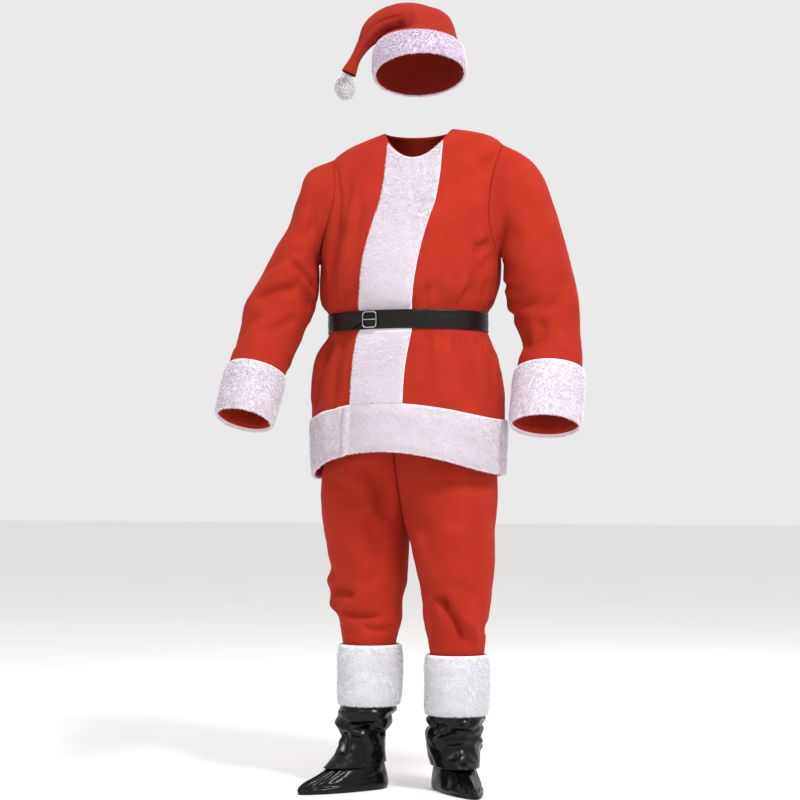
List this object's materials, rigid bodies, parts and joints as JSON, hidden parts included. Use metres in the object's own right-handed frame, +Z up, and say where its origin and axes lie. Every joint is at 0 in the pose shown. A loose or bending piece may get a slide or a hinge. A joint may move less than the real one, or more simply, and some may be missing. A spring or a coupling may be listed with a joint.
{
  "type": "santa suit",
  "caption": "Worn santa suit with nobody inside: drooping hat with pompom, belted red jacket trimmed in white plush, trousers and black boot covers.",
  "frame": {"origin": "middle of the neck opening, where the wearer's shoulders carry the suit", "axes": "+Z up, -Y to the front of the wearer, +X to the wearer's left"},
  "size_m": [0.8075, 0.437, 1.8155],
  "materials": {
    "red_fleece": "brushed fleece, matt",
    "white_plush": "short white plush",
    "black_vinyl": "glossy black vinyl",
    "black_belt": "satin black imitation leather",
    "silver_wire": "polished wire"
  },
  "bodies": {
    "root": {"jacket_front_right": "red_fleece", "hem_band_front_right": "white_plush", "jacket_front_left": "red_fleece", "hem_band_front_left": "white_plush", "jacket_back": "red_fleece", "hem_band_back": "white_plush", "sleeve_right": "red_fleece", "cuff_right": "white_plush", "trousers_right_front": "red_fleece", "trousers_right_back": "red_fleece", "boot_foot_right": "black_vinyl", "boot_shaft_right": "black_vinyl", "boot_fur_right": "white_plush", "sleeve_left": "red_fleece", "cuff_left": "white_plush", "trousers_left_front": "red_fleece", "trousers_left_back": "red_fleece", "boot_foot_left": "black_vinyl", "boot_shaft_left": "black_vinyl", "boot_fur_left": "white_plush", "front_strip": "white_plush", "belt": "black_belt", "belt_tail": "black_belt", "buckle_frame": "silver_wire", "buckle_prong": "silver_wire", "waistband": "red_fleece", "hat_crown": "red_fleece", "hat_band": "white_plush", "pompom": "white_plush"}
  },
  "joints": []
}
